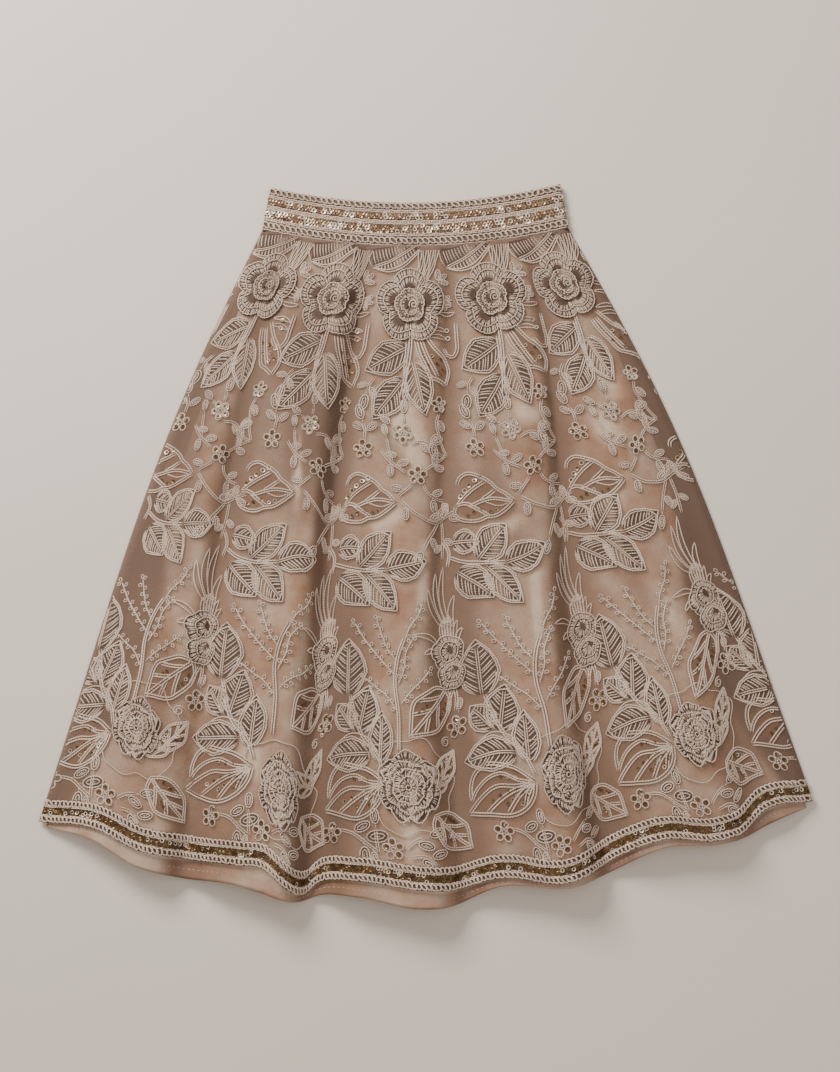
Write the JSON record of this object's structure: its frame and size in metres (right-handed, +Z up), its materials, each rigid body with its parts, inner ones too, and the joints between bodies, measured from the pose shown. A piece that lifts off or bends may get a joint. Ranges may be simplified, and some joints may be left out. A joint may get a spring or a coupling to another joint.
{
  "type": "lehenga skirt",
  "caption": "Child's lehenga skirt laid flat: corded floral net over a satin lining, gathered into a sequinned waistband, with a sequinned trim above the longer lining's hem.",
  "frame": {"origin": "bottom centre of the bounding box, on the surface that the skirt lies on", "axes": "+X across the skirt to its right side as seen from above, +Y from hem to waistband, +Z up out of its front"},
  "size_m": [0.659, 0.645, 0.0293],
  "materials": {
    "net": "matt fine net, see-through",
    "satin": "soft satin, blush beige",
    "waistband": "rose-gold sequins and cord on tape",
    "hem_trim": "bronze sequins between looped braid",
    "corded_thread": "matt twisted thread, taupe"
  },
  "bodies": {
    "root": {"net_front": "net", "net_back": "net", "lining_front": "satin", "lining_back": "satin", "waistband_front": "waistband", "waistband_back": "waistband", "hem_trim_front": "hem_trim", "hem_trim_back": "hem_trim", "rose_waist_1": "corded_thread", "rose_waist_2": "corded_thread", "rose_waist_3": "corded_thread", "rose_waist_4": "corded_thread", "rose_waist_5": "corded_thread", "rose_hem_1": "corded_thread", "rose_hem_2": "corded_thread", "rose_hem_3": "corded_thread", "rose_hem_4": "corded_thread", "rose_hem_5": "corded_thread", "leaf_sprig_1": "corded_thread", "leaf_sprig_2": "corded_thread", "leaf_sprig_3": "corded_thread", "leaf_sprig_4": "corded_thread", "leaf_sprig_5": "corded_thread", "leaf_trio_1": "corded_thread", "leaf_trio_2": "corded_thread", "leaf_trio_3": "corded_thread", "leaf_trio_4": "corded_thread", "leaf_trio_5": "corded_thread"}
  },
  "joints": []
}
